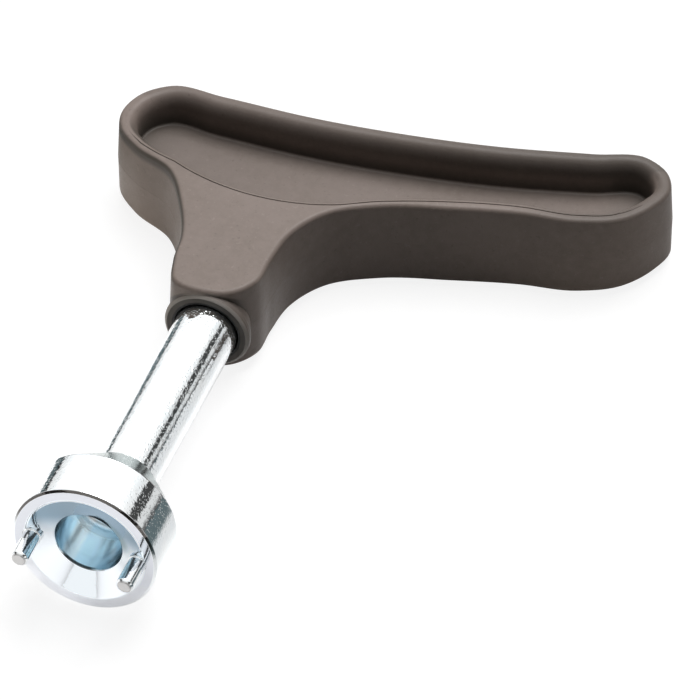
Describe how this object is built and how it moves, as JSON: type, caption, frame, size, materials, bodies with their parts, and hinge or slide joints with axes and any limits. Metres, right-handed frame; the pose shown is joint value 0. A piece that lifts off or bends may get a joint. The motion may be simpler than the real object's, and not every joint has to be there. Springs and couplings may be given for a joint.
{
  "type": "spike wrench",
  "caption": "T-handled key with a moulded offset crossbar, a plain steel shaft and a cupped head whose drive pins turn screw-in shoe spikes.",
  "frame": {"origin": "centre of the head's front rim, midway between the drive pins, on the shaft axis", "axes": "+Y runs along the shaft from the head to the handle, +X towards the handle's long arm, +Z out of the handle's face, up when it lies flat"},
  "size_m": [0.0916, 0.119, 0.025],
  "materials": {
    "handle": "satin moulded, warm grey-brown",
    "shaft": "bright zinc plate on steel",
    "head": "bright zinc plate on turned steel",
    "drive_pin_left": "bright zinc plate on steel",
    "drive_pin_right": "bright zinc plate on steel"
  },
  "bodies": {
    "root": {"handle": "handle", "shaft": "shaft", "head": "head", "drive_pin_left": "drive_pin_left", "drive_pin_right": "drive_pin_right"}
  },
  "joints": []
}
